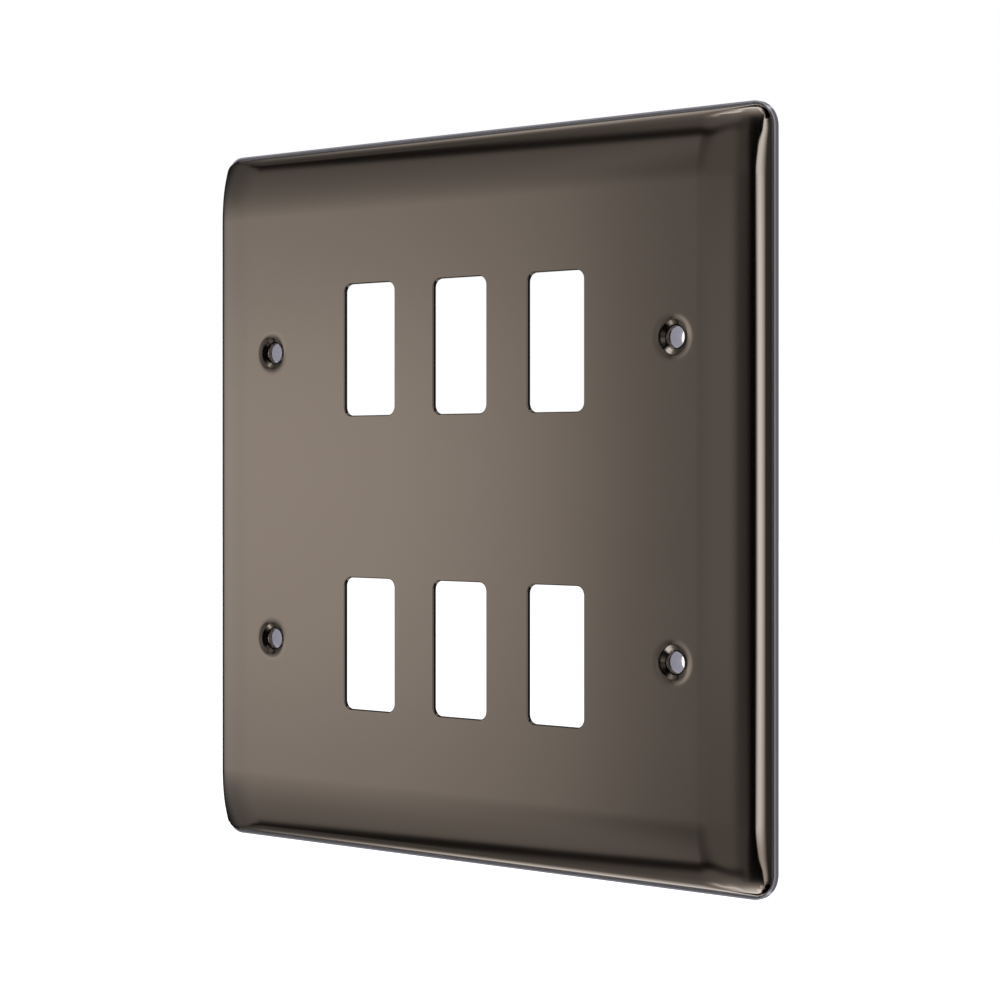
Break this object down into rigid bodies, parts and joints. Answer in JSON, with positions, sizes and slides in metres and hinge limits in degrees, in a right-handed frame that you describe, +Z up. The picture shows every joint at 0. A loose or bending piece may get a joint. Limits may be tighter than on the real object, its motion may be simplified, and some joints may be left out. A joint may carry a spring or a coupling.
{
  "type": "grid switch plate",
  "caption": "Square front plate with rows of rectangular switch apertures, dimpled screw holes, a crowned pressed metal face and a moulded backing.",
  "frame": {"origin": "centre of the four fixing holes, on the plane where the screw sleeves end and bear; the wall plane lies 0.8 mm behind it, at y = +0.0008", "axes": "+X across the plate to the right as seen from the front, +Y into the wall, +Z up"},
  "size_m": [0.146, 0.006, 0.146],
  "materials": {
    "black_nickel": "bright black nickel plating on pressed steel",
    "backing_plastic": "plain moulded grey plastic"
  },
  "bodies": {
    "root": {"front_plate": "black_nickel", "backing": "backing_plastic"}
  },
  "joints": []
}
